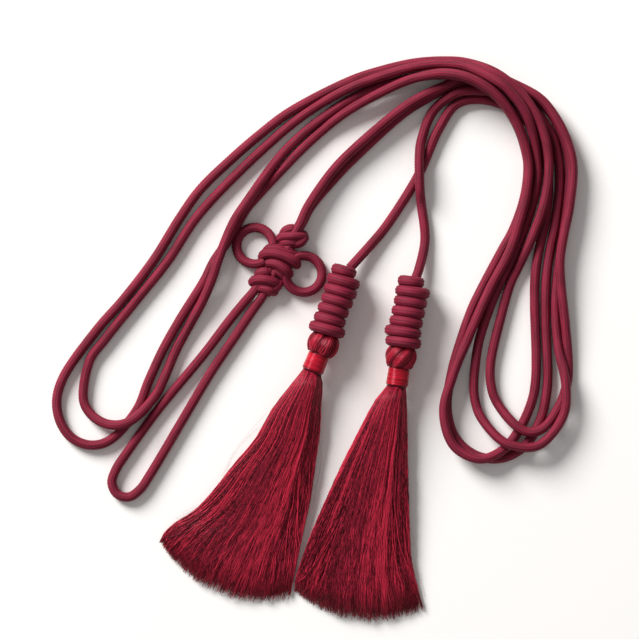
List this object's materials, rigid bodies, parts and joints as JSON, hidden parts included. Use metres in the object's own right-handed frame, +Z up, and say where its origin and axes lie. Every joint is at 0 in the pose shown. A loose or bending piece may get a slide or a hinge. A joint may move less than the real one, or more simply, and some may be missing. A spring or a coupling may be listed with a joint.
{
  "type": "martial arts belt",
  "caption": "Round braided waist cord folded into a flat bundle, with a decorative looped knot, a closing loop and two coiled ends carrying long silk tassels.",
  "frame": {"origin": "centre of the underside of the middle decorative knot, on the surface the folded cord lies on", "axes": "+X towards the folded hanging loops, +Y towards the top of the fold, away from the tassels, +Z up out of the surface"},
  "size_m": [0.2747, 0.2933, 0.0188],
  "materials": {
    "cord": "braided rayon, soft sheen",
    "silk": "loose silk floss, anisotropic sheen",
    "satin": "tightly wound satin thread, glossy"
  },
  "bodies": {
    "folded_cord": {"cord_strand_left": "cord", "cord_strand_right": "cord", "closing_loop": "cord", "ear_loop_left": "cord", "ear_loop_right": "cord", "knot_centre": "cord", "knot_upper": "cord", "knot_lower": "cord", "knot_crossing_upper": "cord", "knot_crossing_lower": "cord", "coil_knot_left": "cord", "coil_core_left": "cord", "coil_knot_right": "cord", "coil_core_right": "cord"},
    "tassel_eye_left": {"tassel_loop_left": "silk"},
    "tassel_left": {"tassel_head_left": "silk", "neck_band_left": "satin", "skirt_left": "silk"},
    "tassel_eye_right": {"tassel_loop_right": "silk"},
    "tassel_right": {"tassel_head_right": "silk", "neck_band_right": "satin", "skirt_right": "silk"}
  },
  "joints": [
    {"name": "tassel_swing_left", "type": "hinge", "parent": "folded_cord", "child": "tassel_eye_left", "pos_m": [0.0225, -0.0433, 0.0095], "axis": [0, 0, 1], "range_deg": [-10, 0]},
    {"name": "tassel_lift_left", "type": "hinge", "parent": "tassel_eye_left", "child": "tassel_left", "pos_m": [0.0225, -0.0433, 0.0095], "axis": [-1, 0, 0], "range_deg": [0, 70]},
    {"name": "tassel_swing_right", "type": "hinge", "parent": "folded_cord", "child": "tassel_eye_right", "pos_m": [0.0631, -0.05, 0.0095], "axis": [0, 0, 1], "range_deg": [0, 20]},
    {"name": "tassel_lift_right", "type": "hinge", "parent": "tassel_eye_right", "child": "tassel_right", "pos_m": [0.0631, -0.05, 0.0095], "axis": [-1, 0, 0], "range_deg": [0, 70]}
  ]
}
